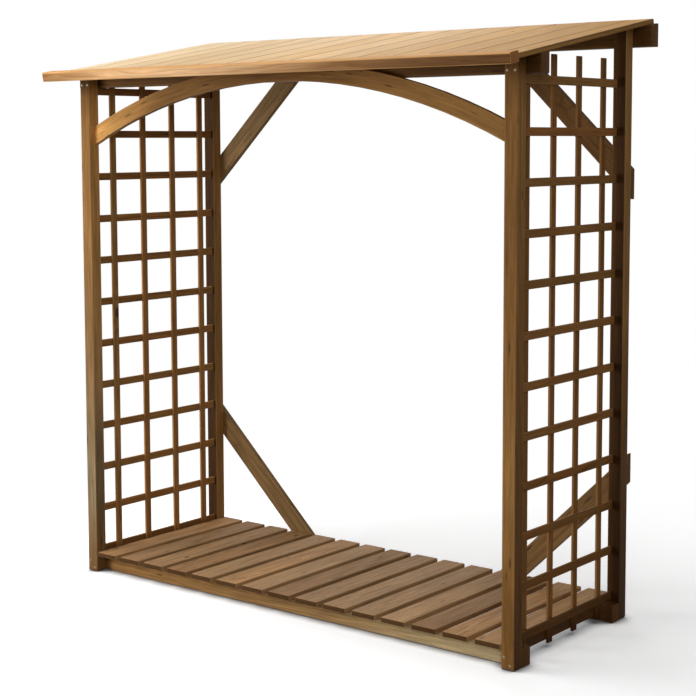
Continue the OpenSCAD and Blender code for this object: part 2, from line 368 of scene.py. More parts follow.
class LogStoreColours(bpy.types.PropertyGroup):
    """Colours of the timbers and the fixings."""

    frame_pale: colour_prop("Frame, pale", "Early wood of the treated frame", "#75532A")
    frame_dark: colour_prop("Frame, dark", "Late wood of the treated frame", "#4A3114")
    frame_gold_pale: colour_prop("Frame gold, pale", "Early wood of the lightest frame timbers", "#E8AE64")
    frame_gold_dark: colour_prop("Frame gold, dark", "Late wood of the lightest frame timbers", "#BE8645")
    lath_pale: colour_prop("Lath, pale", "Early wood of the laths", "#B88A52")
    lath_dark: colour_prop("Lath, dark", "Late wood of the laths", "#835F36")
    lath_red_pale: colour_prop("Lath red, pale", "Early wood of the reddest laths", "#C4884E")
    lath_red_dark: colour_prop("Lath red, dark", "Late wood of the reddest laths", "#915F36")
    slat_pale: colour_prop("Slat, pale", "Early wood of the slats", "#BC8F5E")
    slat_dark: colour_prop("Slat, dark", "Late wood of the slats", "#93693E")
    slat_grey_pale: colour_prop("Slat grey, pale", "Early wood of the greyest slats", "#AE9270")
    slat_grey_dark: colour_prop("Slat grey, dark", "Late wood of the greyest slats", "#86694A")
    bearer_pale: colour_prop("Bearer, pale", "Early wood of the bearers", "#D8AA70")
    bearer_dark: colour_prop("Bearer, dark", "Late wood of the bearers", "#B98A52")
    bearer_grey_pale: colour_prop("Bearer grey, pale", "Early wood of the bearers' greyed ends", "#EAD6A8")
    bearer_grey_dark: colour_prop("Bearer grey, dark", "Late wood of the bearers' greyed ends", "#CCB588")
    # The roof's pale colours are light enough to paint part of the sheen on the left boards
    roof_pale: colour_prop("Roof, pale", "Early wood of the roof boards", "#F2DCB8")
    roof_dark: colour_prop("Roof, dark", "Late wood of the roof boards", "#DDC294")
    roof_gold_pale: colour_prop("Roof gold, pale", "Early wood of the most golden boards", "#D4A252")
    roof_gold_dark: colour_prop("Roof gold, dark", "Late wood of the most golden boards", "#B68236")
    batten_pale: colour_prop("Batten, pale", "Early wood of the eaves batten", "#DDA45C")
    batten_dark: colour_prop("Batten, dark", "Late wood of the eaves batten", "#B97E3C")
    batten_red_pale: colour_prop("Batten red, pale", "Early wood where the batten is reddest", "#F0C798")
    batten_red_dark: colour_prop("Batten red, dark", "Late wood where the batten is reddest", "#CC9562")
    roof_joint: colour_prop("Roof joint", "Dirt along the joints of the roof boards", "#6E4A24")
    rubbed: colour_prop("Rubbed edge", "Wood that shows where handling rubbed the dip off", "#CEAD81")
    knot: colour_prop("Knot", "Knots, splits and drying checks", "#3A2412")
    dip: colour_prop("Dip", "What one full coat of the dip lets through", "#7F7263")
    silver: colour_prop("Silver", "Grey that rain and sun leave on the frame", "#8B7A5E")
    end_grain: colour_prop("End grain", "Sawn ends that drank the dip", "#5A3A1C")
    # The slat ends are dark end grain, darkened further as painted shade
    slat_end_and_shade: colour_prop("Slat end grain", "Sawn ends of the slats", "#422710")
    roof_end: colour_prop("Roof end grain", "Sawn ends of the roof's timbers", "#8A562A")
    zinc: colour_prop("Zinc", "Plating of the screws", "#8F8069")
    rust: colour_prop("Rust", "Nails and pins that have rusted over", "#5B3A22")


class LogStoreFixings(bpy.types.PropertyGroup):
    """Sizes and places of the screws and nails."""

    screw_head: length_prop("Screw head", "Diameter of a countersunk screw head", 0.0085)
    nail_head: length_prop("Nail head", "Diameter of a nail head in the floor", 0.006)
    pin_head: length_prop("Pin head", "Diameter of a pin head in the lattice", 0.0035)
    screw_gap: length_prop("Screw spacing", "Between two screws side by side in a post", 0.027)
    proud: length_prop("Proud", "How far a head stands out of the wood", 0.0003)


class LogStoreStage(bpy.types.PropertyGroup):
    """Camera, floor and lamps."""

    camera_place: bpy.props.FloatVectorProperty(
        name="Camera",
        description="Where the camera stands",
        default=(3.3107, -4.1263, 1.5504),
        subtype="TRANSLATION",
    )
    camera_turn: number_prop("Turn", "Turn of the camera about the upright", 0.6672, subtype="ANGLE")
    camera_dip: number_prop("Dip", "How far the camera looks down", 0.0912, subtype="ANGLE")
    camera_roll: number_prop("Roll", "Roll of the camera about its axis", -0.0031, subtype="ANGLE")
    camera_lens: number_prop("Lens", "Focal length in millimetres", 81.458, unit="CAMERA")
    camera_shift: number_prop("Shift", "Vertical shift of the lens, as a share of the frame", -0.09)
    floor_level: number_prop("Floor", "How light the floor looks for the light that falls on it", 1.38)
    floor_bounce: colour_prop("Floor bounce", "What the floor sends back to the part", "#6E6C68")
    floor_radius: length_prop("Floor radius", "Radius of the studio floor", 14.0)
    contact: length_prop("Contact", "How far from the part the floor is darkened", 0.05)
    sky: number_prop("Sky", "Strength of the even light all round", 0.26)
    key_power: number_prop("Key", "Power of the key lamp at the left", 95.0, subtype="POWER")
    fill_power: number_prop("Fill", "Power of the fill lamp at the right", 82.0, subtype="POWER")
    top_power: number_prop("Top", "Power of the lamp over the roof", 112.0, subtype="POWER")
    back_power: number_prop("Back", "Power of the lamp behind the part", 60.0, subtype="POWER")


def node(tree, kind, inputs=None, ramp=None, **settings):
    """Adds a shader node with its settings and fills or links its inputs.

    An input is a value, a socket, or a node for its first output. A ramp's stops are places and levels.
    """
    made = tree.nodes.new(f"ShaderNode{kind}")
    for key, value in settings.items():
        setattr(made, key, value)
    for key, value in (inputs or {}).items():
        if isinstance(value, bpy.types.Node):
            value = value.outputs[0]
        if isinstance(value, bpy.types.NodeSocket):
            tree.links.new(value, made.inputs[key])
        else:
            made.inputs[key].default_value = value
    if ramp:
        stops = made.color_ramp.elements
        while len(stops) < len(ramp):
            stops.new(0.5)
        for stop, (place, level) in zip(stops, ramp):
            stop.position = place
            stop.color = (level, level, level, 1.0)
    return made


def new_material(name):
    """An empty node material and its tree."""
    material = bpy.data.materials.new(name)
    material.use_nodes = True
    material.node_tree.nodes.clear()
    return material, material.node_tree


def timber_material(name, woods, ends, edges, knot_gap, checks, splits, roughness, gloss, figure):
    """Softwood that was sawn, planed and dipped: growth rings, fibre streaks, knots, checks and worn edges.

    The rings are cut through by each face, so flats show long arched figure, edges fine lines and
    ends the rings themselves. The dip dries matt, darker at the ends and in the checks. woods are the
    early and late wood of the first and the second colour, ends the sawn ends, and edges the colour of
    the arrises, how pure it is and how much of it shows. The rest is as in GRAINS.
    """
    pale, dark, other_pale, other_dark = woods
    edge_colour, edge_purity, edge_share = edges
    props = bpy.context.scene.log_store_timber
    colours = bpy.context.scene.log_store_colours
    material, tree = new_material(name)
    grain = node(tree, "Attribute", attribute_name="grain").outputs["Vector"]
    tone, dip, grey, wear, cut_end = (
        node(tree, "Attribute", attribute_name=layer).outputs["Fac"] for layer in READINGS
    )

    # The heart of the trunk wanders by a centimetre or so
    slow = node(tree, "VectorMath", {0: grain, 1: WANDER_REPEATS}, operation="MULTIPLY")
    wander = node(tree, "TexNoise", {"Vector": slow, "Scale": 1.0, "Detail": 2.5}).outputs["Color"]
    aside = (0.0, HEART_WANDER, HEART_WANDER)
    heart = node(tree, "VectorMath", {0: wander, 1: aside, 2: grain}, operation="MULTIPLY_ADD")

    # A knot sits in some of the cells, each cell as long as the gap between two whorls of branches
    repeats = (1 / knot_gap, 1 / KNOT_CELL, 1 / KNOT_CELL)
    cells = node(tree, "VectorMath", {0: heart, 1: repeats}, operation="MULTIPLY")
    whorl = node(tree, "TexVoronoi", {"Vector": cells, "Scale": 1.0})
    apart = node(tree, "VectorMath", {0: cells, 1: whorl.outputs["Position"]}, operation="SUBTRACT")
    metres = (knot_gap * KNOT_STRETCH, KNOT_CELL, KNOT_CELL)
    apart = node(tree, "VectorMath", {0: apart, 1: metres}, operation="MULTIPLY")
    distance = node(tree, "VectorMath", {0: apart}, operation="LENGTH").outputs["Value"]
    chance = node(tree, "SeparateColor", {0: whorl.outputs["Color"]})
    radius = node(tree, "MapRange", {"Value": chance, 1: KNOT_FREE, 2: 1.0, 3: 0.0001, 4: KNOT_RADIUS})
    ratio = node(tree, "Math", {0: distance, 1: radius}, operation="DIVIDE")
    knot = node(tree, "MapRange", {"Value": ratio, 1: 0.6, 2: 1.1, 3: 1.0, 4: 0.0}, **SMOOTH)
    # The rings swirl round a knot, by seven rings at its edge and not at all four radii off
    swirl = node(tree, "MapRange", {"Value": ratio, 1: 0.5, 2: 4.0, 3: 7.0, 4: 0.0}, **SMOOTH)
    ring_scale = math.pi / 10 / props.ring_width
    rings = node(
        tree,
        "TexWave",
        {"Vector": heart, "Scale": ring_scale, "Phase Offset": swirl},
        wave_type="RINGS",
        rings_direction="X",
        wave_profile="SAW",
    ).outputs["Fac"]
    late = node(tree, "ValToRGB", {0: rings}, ramp=RING_RAMP)

    # Fibre streaks are drawn about ten times as coarse as the real fibres, so that they show
    thin = 1 / props.streak_width
    fine = node(tree, "VectorMath", {0: heart, 1: (STREAK_REPEATS, thin, thin)}, operation="MULTIPLY")
    streak = node(tree, "TexNoise", {"Vector": fine, "Scale": 1.0, "Detail": 4.0, "Roughness": 0.62})
    # Bands of faster and slower growth, a finger wide and a hand long
    broad = 1 / props.band_width
    wide = node(tree, "VectorMath", {0: heart, 1: (BAND_REPEATS, broad, broad)}, operation="MULTIPLY")
    band = node(tree, "TexNoise", {"Vector": wide, "Scale": 1.0, "Detail": 5.0, "Roughness": 0.6})
    # Blotches where the dip soaked in unevenly
    loose = node(tree, "VectorMath", {0: grain, 1: BLOTCH_REPEATS}, operation="MULTIPLY")
    blotch = node(tree, "TexNoise", {"Vector": loose, "Scale": 1.0, "Detail": 3.0, "Roughness": 0.55})

    early_colour = node(tree, "Mix", {0: tone, 6: pale, 7: other_pale}, **RGBA).outputs[2]
    late_colour = node(tree, "Mix", {0: tone, 6: dark, 7: other_dark}, **RGBA).outputs[2]
    wood = node(tree, "Mix", {0: late, 6: early_colour, 7: late_colour}, **RGBA).outputs[2]
    wood = node(tree, "Mix", {0: grey, 6: wood, 7: colours.silver}, **RGBA).outputs[2]
    # One coat of the dip raised to the dip reading, which also carries the painted shade of many pieces
    dip_and_shade_tint = node(tree, "Gamma", {"Color": colours.dip, "Gamma": dip})
    # The noises stay within about a quarter of their middle, which is spread over the swing in brightness
    swing = {1: 0.3, 2: 0.7, 3: 1.0 - figure, 4: 1.0 + figure}
    streak_swing = {1: 0.25, 2: 0.75, 3: 1.0 - 0.7 * figure, 4: 1.0 + 0.6 * figure}
    blotch_swing = {1: 0.28, 2: 0.72, 3: 1.0 - 0.65 * figure, 4: 1.0 + 0.5 * figure}
    bands = node(tree, "MapRange", {"Value": band, **swing})
    streaks = node(tree, "MapRange", {"Value": streak, **streak_swing})
    blotches = node(tree, "MapRange", {"Value": blotch, **blotch_swing})
    for layer in (dip_and_shade_tint, bands, streaks, blotches):
        wood = node(tree, "Mix", {0: 1.0, 6: wood, 7: layer}, **TINT).outputs[2]

    # Drying checks: hairlines along the grain, only where the wood dried fast
    long_way = node(tree, "VectorMath", {0: heart, 1: CHECK_REPEATS}, operation="MULTIPLY")
    crack = node(tree, "TexNoise", {"Vector": long_way, "Scale": 1.0, "Detail": 1.0})
    hairline = node(tree, "ValToRGB", {0: crack}, ramp=HAIRLINE_RAMP)
    dry = node(tree, "MapRange", {"Value": blotch, 1: 0.52, 2: 0.66, 3: 0.0, 4: checks})
    check = node(tree, "Math", {0: hairline, 1: dry}, operation="MULTIPLY")
    # Short splits, a finger long and a few millimetres wide, in a few of their cells
    split_cells = node(tree, "VectorMath", {0: heart, 1: SPLIT_REPEATS}, operation="MULTIPLY")
    split_cell = node(tree, "TexVoronoi", {"Vector": split_cells, "Scale": 1.0})
    odds = node(tree, "SeparateColor", {0: split_cell.outputs["Color"]}).outputs[1]
    width = node(tree, "MapRange", {"Value": odds, 1: 1.0 - splits, 2: 1.0, 3: 0.001, 4: 0.4})
    ratio = node(tree, "Math", {0: split_cell.outputs["Distance"], 1: width}, operation="DIVIDE")
    split = node(tree, "MapRange", {"Value": ratio, 1: 0.4, 2: 1.0, 3: 1.0, 4: 0.0}, **SMOOTH)
    check = node(tree, "Math", {0: check, 1: split}, operation="MAXIMUM")
    dark_spot = node(tree, "Math", {0: check, 1: knot}, operation="MAXIMUM")
    cover = node(tree, "Math", {0: dark_spot, 1: SPOT_COVER}, operation="MULTIPLY")
    wood = node(tree, "Mix", {0: cover, 6: wood, 7: colours.knot}, **RGBA).outputs[2]

    # Handling rubs the dip off the arrises or dirt lodges in them, and end grain drinks more of the dip
    rubbed = node(tree, "Math", {0: wear, 1: blotch}, operation="MULTIPLY")
    rubbed = node(tree, "Math", {0: rubbed, 1: edge_share}, operation="MULTIPLY", use_clamp=True)
    bare = node(tree, "Mix", {0: edge_purity, 6: early_colour, 7: edge_colour}, **RGBA).outputs[2]
    bare = node(tree, "Mix", {0: 1.0, 6: bare, 7: dip_and_shade_tint}, **TINT).outputs[2]
    wood = node(tree, "Mix", {0: rubbed, 6: wood, 7: bare}, **RGBA).outputs[2]
    soaked = node(tree, "Math", {0: cut_end, 1: END_COVER}, operation="MULTIPLY")
    wood = node(tree, "Mix", {0: soaked, 6: wood, 7: ends}, **RGBA).outputs[2]

    # Late wood and streaks stand up a little and shine a little more
    dull = {1: 0.25, 2: 0.75, 3: roughness + 0.1, 4: roughness - 0.08}
    matt = node(tree, "MapRange", {"Value": streak, **dull})
    ridge = node(tree, "Math", {0: late, 1: 0.5, 2: streak}, operation="MULTIPLY_ADD")
    ridge = node(tree, "Math", {0: ridge, 1: dark_spot}, operation="SUBTRACT")
    relief = node(tree, "Bump", {"Strength": RELIEF_STRENGTH, "Distance": RELIEF_DEPTH, "Height": ridge})
    surface = node(
        tree,
        "BsdfPrincipled",
        {"Base Color": wood, "Roughness": matt, "Normal": relief, "IOR": 1.5, "Specular IOR Level": gloss},
    )
    node(tree, "OutputMaterial", {"Surface": surface})
    return material


def steel_material(name, colour, roughness, metal):
    """Plated or rusted steel: dulled in patches by the weather, so that it glints softly or not at all."""
    material, tree = new_material(name)
    place = node(tree, "TexCoord").outputs["Object"]
    spangle = node(tree, "TexNoise", {"Vector": place, "Scale": SPANGLE_REPEATS, "Detail": 2.0})
    dull = {1: 0.3, 2: 0.7, 3: roughness - 0.1, 4: roughness + 0.1}
    matt = node(tree, "MapRange", {"Value": spangle, **dull})
    level = node(tree, "MapRange", {"Value": spangle, 1: 0.3, 2: 0.7, 3: 1.0, 4: 0.75})
    patched = node(tree, "Mix", {0: 1.0, 6: colour, 7: level}, **TINT).outputs[2]
    surface = node(tree, "BsdfPrincipled", {"Base Color": patched, "Roughness": matt, "Metallic": metal})
    node(tree, "OutputMaterial", {"Surface": surface})
    return material


def finish(name):
    """The named finish, made the first time that it is asked for."""
    made = bpy.data.materials.get(name)
    if made:
        return made
    c = bpy.context.scene.log_store_colours
    steels = {ZINC: c.zinc, RUST: c.rust}
    if name in steels:
        return steel_material(name, steels[name], *STEELS[name])
    woods = {
        FRAME_WOOD: (c.frame_pale, c.frame_dark, c.frame_gold_pale, c.frame_gold_dark),
        LATH_WOOD: (c.lath_pale, c.lath_dark, c.lath_red_pale, c.lath_red_dark),
        SLAT_WOOD: (c.slat_pale, c.slat_dark, c.slat_grey_pale, c.slat_grey_dark),
        BEARER_WOOD: (c.bearer_pale, c.bearer_dark, c.bearer_grey_pale, c.bearer_grey_dark),
        ROOF_WOOD: (c.roof_pale, c.roof_dark, c.roof_gold_pale, c.roof_gold_dark),
        BATTEN_WOOD: (c.batten_pale, c.batten_dark, c.batten_red_pale, c.batten_red_dark),
    }
    ends = {SLAT_WOOD: c.slat_end_and_shade, ROOF_WOOD: c.roof_end, BATTEN_WOOD: c.roof_end}.get(name, c.end_grain)
    edges = (c.roof_joint, *JOINT_EDGE) if name == ROOF_WOOD else (c.rubbed, *RUBBED_EDGE)
    return timber_material(name, woods[name], ends, edges, **GRAINS[name])


def eased_outline(corners, radius, margin=ARRIS_MARGIN):
    """Outline with rounded corners as (a, b, wear), worn on the arrises and clean on the flats.

    radius is one number, or one for each corner. The corners run anticlockwise.
    """
    count = len(corners)
    radii = radius if isinstance(radius, (list, tuple)) else [radius] * count
    outline = []
    for i, corner in enumerate(corners):
        here = Vector(corner)
        ahead = Vector(corners[(i + 1) % count]) - here
        to_last = (Vector(corners[i - 1]) - here).normalized()
        to_next = ahead.normalized()
        half = to_last.angle(to_next) / 2
        reach = radii[i] / math.tan(half)
        next_reach = radii[(i + 1) % count]
        if radii[i] <= 0:
            outline.append((here.x, here.y, 0.0))
            continue
        start = here + to_last * reach
        stop = here + to_next * reach
        middle = here + (to_last + to_next).normalized() * radii[i] / math.sin(half)
        for k in range(ARC_STEPS + 1):
            chord = start.lerp(stop, k / ARC_STEPS) - middle
            point = middle + chord.normalized() * radii[i]
            outline.append((point.x, point.y, 1.0))
        if ahead.length > reach + next_reach + LEAST_FLAT_MARGINS * margin:
            first = here + to_next * (reach + margin)
            last = here + to_next * (ahead.length - next_reach - margin)
            outline.append((first.x, first.y, 0.0))
            outline.append((last.x, last.y, 0.0))
    return outline


def inset_outline(outline, depth):
    """The outline drawn in by depth."""
    drawn = []
    count = len(outline)
    for i, (a, b, wear) in enumerate(outline):
        before = outline[i - 1]
        after = outline[(i + 1) % count]
        along = Vector((after[0] - before[0], after[1] - before[1])).normalized()
        drawn.append((a - along.y * depth, b + along.x * depth, wear))
    return drawn


def rectangle(a0, a1, b0, b1):
    """Corners of a rectangle, anticlockwise."""
    return [(a0, b0), (a1, b0), (a1, b1), (a0, b1)]


def centred(width, thick):
    """Corners of a rectangle about the spine."""
    return rectangle(-width / 2, width / 2, -thick / 2, thick / 2)


def new_timber():
    """A mesh in the making, with what the timber finishes read from it."""
    bm = bmesh.new()
    bm.verts.layers.float_vector.new("grain")
    for layer in READINGS:
        bm.verts.layers.float.new(layer)
    return bm


def eased_end(end, depth):
    """Rings of an eased end from its face inwards: its part, how far in, how far drawn in, end grain."""
    middle = EASE_MIDDLE * depth
    return [
        (end, 0.0, depth, 1.0),
        (end, middle, middle, EASE_END_GRAIN),
        (end, depth, 0.0, 0.0),
        (end, depth + END_MARGIN, 0.0, 0.0),
    ]


def add_timber(
    bm,
    outline,
    spine,
    length,
    seed,
    tone,
    dip,
    grey=0.0,
    cuts=(PLAIN_CUT, PLAIN_CUT),
    ease=END_EASE,
    bow=None,
):
    """Sweeps an outline along a spine, with eased ends that may be cut on the slant.

    spine turns (along, a, b) into a place. A cut is how far the end moves along for each unit of a and b.
    tone says how far the wood takes its second colour, dip how dark and grey how weathered it is, each a
    reading or what makes one. bow is the most that the timber wanders, as in the settings if it is None.
    """
    draw = random.Random(seed)
    sawn_at = draw.uniform(0, TRUNK_LENGTH)
    aside = draw.uniform(-HEART_ASIDE, HEART_ASIDE)
    heart = Vector((sawn_at, aside, draw.choice((-1, 1)) * draw.uniform(*HEART_OFF)))
    if bow is None:
        bow = bpy.context.scene.log_store_timber.bow
    looks = [reading(value) for value in (tone, dip, grey)]
    layers = bm.verts.layers
    spans = max(LEAST_SPANS, round(length / RING_SPAN))
    inner = [(INSIDE, k / spans, 0.0, 0.0) for k in range(1, spans)]
    rings = []
    for part, step, drawn, end_grain in eased_end(START, ease[0]) + inner + eased_end(STOP, ease[1])[::-1]:
        ring = []
        end_wear = 0.0 if part == INSIDE else 1.0 - step / max(ease) * EASE_WEAR_FADE
        for a, b, wear in inset_outline(outline, drawn) if drawn else outline:
            start = cuts[0][0] * a + cuts[0][1] * b
            stop = length + cuts[1][0] * a + cuts[1][1] * b
            along = start + step if part == START else stop - step
            if part == INSIDE:
                along = start + (stop - start) * step
            free = math.sin(math.pi * min(max(along / length, 0.0), 1.0))
            sway = noise.noise_vector(Vector((along * BOW_REPEATS, seed * BOW_SEED_STEP, 0.5))) * bow * free
            vert = bm.verts.new(spine(along, a + sway.x, b + sway.y))
            vert[layers.float_vector["grain"]] = Vector((along, a, b)) + heart
            values = [look(along / length, a, b) for look in looks]
            values += [max(wear, end_wear), end_grain]
            for layer, value in zip(READINGS, values):
                vert[layers.float[layer]] = value
            ring.append(vert)
        rings.append(ring)
    for first, second in zip(rings, rings[1:]):
        for i in range(len(outline)):
            j = (i + 1) % len(outline)
            bm.faces.new((first[i], first[j], second[j], second[i])).smooth = True
    bm.faces.new(rings[0][::-1])
    bm.faces.new(rings[-1])


def between(values, share):
    """What evenly spaced values come to at a share of the way."""
    place = min(max(share, 0.0), 1.0) * (len(values) - 1)
    first = min(int(place), len(values) - 2)
    return values[first] + (values[first + 1] - values[first]) * (place - first)


def reading(value):
    """Turns a number, or evenly spaced numbers, into a function of the share of the length, a and b."""
    if callable(value):
        return value
    values = value if isinstance(value, (list, tuple)) else (value, value)

    def at(share, a, b):
        return between(values, share)

    return at


def with_back(value, axis, limit, back_value):
    """Like reading, with another value on the face where a (axis 0) or b (axis 1) is at its limit."""
    front = reading(value)

    def at(share, a, b):
        return back_value if (a, b)[axis] > limit - SAME_PLACE else front(share, a, b)

    return at


def with_ends(value, reach, end_value):
    """Like reading, with another value near both ends."""
    middle = reading(value)

    def at(share, a, b):
        return end_value if min(share, 1.0 - share) < reach else middle(share, a, b)

    return at


def with_foot(value, reach, more):
    """Like reading, with more added near the start."""
    upper = reading(value)

    def at(share, a, b):
        return upper(share, a, b) + (more if share < reach else 0.0)

    return at


def straight(origin, along, across, up):
    """A spine that runs straight from origin."""
    place = Matrix((along, across, up)).transposed()

    def spine(x, a, b):
        return origin + place @ Vector((x, a, b))

    return spine


def place_piece(bm, name, finish_name, stands_for=None):
    """Turns the mesh into an object that rides on the part and stands for its node."""
    if not bm.faces:
        raise RuntimeError(f"{name} has no faces")
    bmesh.ops.recalc_face_normals(bm, faces=bm.faces)
    mesh = bpy.data.meshes.new(name)
    bm.to_mesh(mesh)
    bm.free()
    mesh.set_sharp_from_angle(angle=SMOOTH_LIMIT)
    mesh.materials.append(finish(finish_name))
    piece = bpy.data.objects.new(name, mesh)
    bpy.context.scene.collection.objects.link(piece)
    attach(piece, BODY)
    if stands_for:
        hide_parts(stands_for)


def place_timber(stands_for, kind, wood, *shape, **look):
    """Makes the one timber that stands for a node, named after it and its kind, as add_timber does."""
    bm = new_timber()
    add_timber(bm, *shape, **look)
    place_piece(bm, f"{stands_for}_{kind}", wood, stands_for)


def corners_of(name):
    """Every corner of a node of the frame."""
    return [v.co.copy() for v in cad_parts[name].data.vertices]


def numbered(prefix):
    """The nodes whose names are a prefix and a number, in order."""
    return sorted((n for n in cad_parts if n.startswith(prefix)), key=lambda n: int(n[len(prefix) :]))


def top_edges():
    """The front rail's top front and top back edges as (y, z)."""
    low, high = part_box("front_top_rail")
    corners = corners_of("front_top_rail")
    front = max(c.z for c in corners if c.y - low.y < SAME_PLACE)
    back = max(c.z for c in corners if high.y - c.y < SAME_PLACE)
    return (low.y, front), (high.y, back)


RAIL_FRONT, RAIL_BACK = top_edges()
ROOF_FALL = (RAIL_BACK[1] - RAIL_FRONT[1]) / (RAIL_BACK[0] - RAIL_FRONT[0])
ROOF_PITCH = math.atan(ROOF_FALL)
ROOF_PLANE = Matrix.Translation((0, RAIL_FRONT[0], RAIL_FRONT[1])) @ Matrix.Rotation(ROOF_PITCH, 4, "X")
UP_SLOPE = ROOF_PLANE.to_3x3() @ AXIS_Y
OFF_SLOPE = ROOF_PLANE.to_3x3() @ AXIS_Z


def slope_box(name):
    """Lowest and highest corner of a node in the roof's own frame."""
    back = ROOF_PLANE.inverted()
    corners = [back @ c for c in corners_of(name)]
    low = Vector([min(c[i] for c in corners) for i in range(3)])
    high = Vector([max(c[i] for c in corners) for i in range(3)])
    return low, high


def edges_along(name, flat_axis, flat_at, axis):
    """Pairs of places along an axis where the laths in one flat face begin and end."""
    found = sorted(c[axis] for c in corners_of(name) if abs(c[flat_axis] - flat_at) < SAME_PLACE)
    marks = []
    for value in found:
        if not marks or value - marks[-1] > SAME_PLACE:
            marks.append(value)
    return list(zip(marks[::2], marks[1::2]))


def roof_height(y):
    """Height of the roof's underside."""
    return RAIL_FRONT[1] + (y - RAIL_FRONT[0]) * ROOF_FALL


def past_posts(end):
    """Share of a timber's length that runs on past the posts' inner faces at each end."""
    return (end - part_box("front_right_post")[0].x) / (2 * end)


def post_reading(front_tone, side_tone, front_dips, side_dips, inner_highlight, eaves_shadow):
    """Tone and dip of a post, darker on its front, right-hand side or other sides, partly as painted shade.
    """
    begin, full = EAVES_SHADE

    def face(a, b, front, side, back):
        if abs(b) > abs(a):
            return front if b < 0 else back
        return side if a > 0 else back

    def tone(share, a, b):
        return face(a, b, front_tone, side_tone, BACK_TONE)

    def dip(share, a, b):
        # A painted highlight lightens the inner edge of the front, and painted shadow of the eaves darkens
        # the head
        lighter = face(a, b, inner_highlight, 0.0, 0.0) if a < 0 else 0.0
        shaded = min(max((share - begin) / (full - begin), 0.0), 1.0) * face(a, b, *eaves_shadow, 0.0)
        return between(face(a, b, front_dips, side_dips, (BACK_DIP, BACK_DIP)), share) - lighter + shaded

    return tone, dip


class LOGSTORE_OT_posts(bpy.types.Operator):
    """Makes the four corner posts"""

    bl_idname = "logstore.posts"
    bl_label = "Corner posts"

    def execute(self, context):
        props = context.scene.log_store_timber
        for seed, (name, look) in enumerate(POSTS.items(), SEEDS["posts"]):
            eaves_shadow = EAVES_SHADOW_DIPS.get(name, (0.0, 0.0))
            tone, dip = post_reading(*look, INNER_EDGE_HIGHLIGHTS.get(name, 0.0), eaves_shadow)
            low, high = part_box(name)
            middle = (low + high) / 2
            side = high.x - low.x
            outline = eased_outline(centred(side, side), props.arris)
            spine = straight(Vector((middle.x, middle.y, 0)), AXIS_Z, AXIS_X, AXIS_Y)
            shape = (outline, spine, roof_height(middle.y))
            place_timber(
                name,
                "timber",
                FRAME_WOOD,
                *shape,
                seed,
                tone,
                dip,
                grey=POST_GREYS.get(name, 0.0),
                cuts=(PLAIN_CUT, (0.0, ROOF_FALL)),
                ease=(props.foot_round, HEAD_EASE),
            )
        return {"FINISHED"}


class LOGSTORE_OT_rails(bpy.types.Operator):
    """Makes the front and rear top rails, planed to the roof's slope"""

    bl_idname = "logstore.rails"
    bl_label = "Top rails"

    def execute(self, context):
        props = context.scene.log_store_timber
        for seed, (name, (dip, end_dip)) in enumerate(RAILS.items(), SEEDS["rails"]):
            low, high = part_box(name)
            corners = rectangle(low.y, high.y, low.z, high.z)
            corners[2] = (high.y, roof_height(high.y))
            corners[3] = (low.y, roof_height(low.y))
            outline = eased_outline(corners, props.arris)
            spine = straight(Vector((low.x, 0, 0)), AXIS_X, AXIS_Y, AXIS_Z)
            shape = (outline, spine, high.x - low.x)
            dips = with_back(with_ends(dip, past_posts(high.x), end_dip), 0, high.y, BACK_DIP)
            place_timber(name, "timber", FRAME_WOOD, *shape, seed, RAIL_TONE, dips)
        return {"FINISHED"}


class LOGSTORE_OT_bearers(bpy.types.Operator):
    """Makes the two floor bearers"""

    bl_idname = "logstore.bearers"
    bl_label = "Floor bearers"

    def execute(self, context):
        props = context.scene.log_store_timber
        for seed, (name, (tones, dips, end_dip)) in enumerate(BEARERS.items(), SEEDS["bearers"]):
            low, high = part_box(name)
            outline = eased_outline(rectangle(low.y, high.y, low.z, high.z), props.arris)
            spine = straight(Vector((low.x, 0, 0)), AXIS_X, AXIS_Y, AXIS_Z)
            shape = (outline, spine, high.x - low.x)
            reach = past_posts(high.x)
            tone = with_ends(tones, reach, 0.0)
            dip = with_back(with_ends(dips, reach, end_dip), 0, high.y, BEARER_BACK_DIP)
            place_timber(name, "timber", BEARER_WOOD, *shape, seed, tone, dip)
        return {"FINISHED"}


class LOGSTORE_OT_cleats(bpy.types.Operator):
    """Makes the two cleats that the lattices' feet are fixed to"""

    bl_idname = "logstore.cleats"
    bl_label = "Floor cleats"

    def execute(self, context):
        props = context.scene.log_store_timber
        for seed, name in enumerate(("left_floor_cleat", "right_floor_cleat"), SEEDS["cleats"]):
            low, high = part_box(name)
            outline = eased_outline(rectangle(low.z, high.z, low.x, high.x), props.board_arris)
            spine = straight(Vector((0, low.y, 0)), AXIS_Y, AXIS_Z, AXIS_X)
            shape = (outline, spine, high.y - low.y)
            place_timber(name, "timber", SLAT_WOOD, *shape, seed, 0.0, CLEAT_SHADE_DIP)
        return {"FINISHED"}


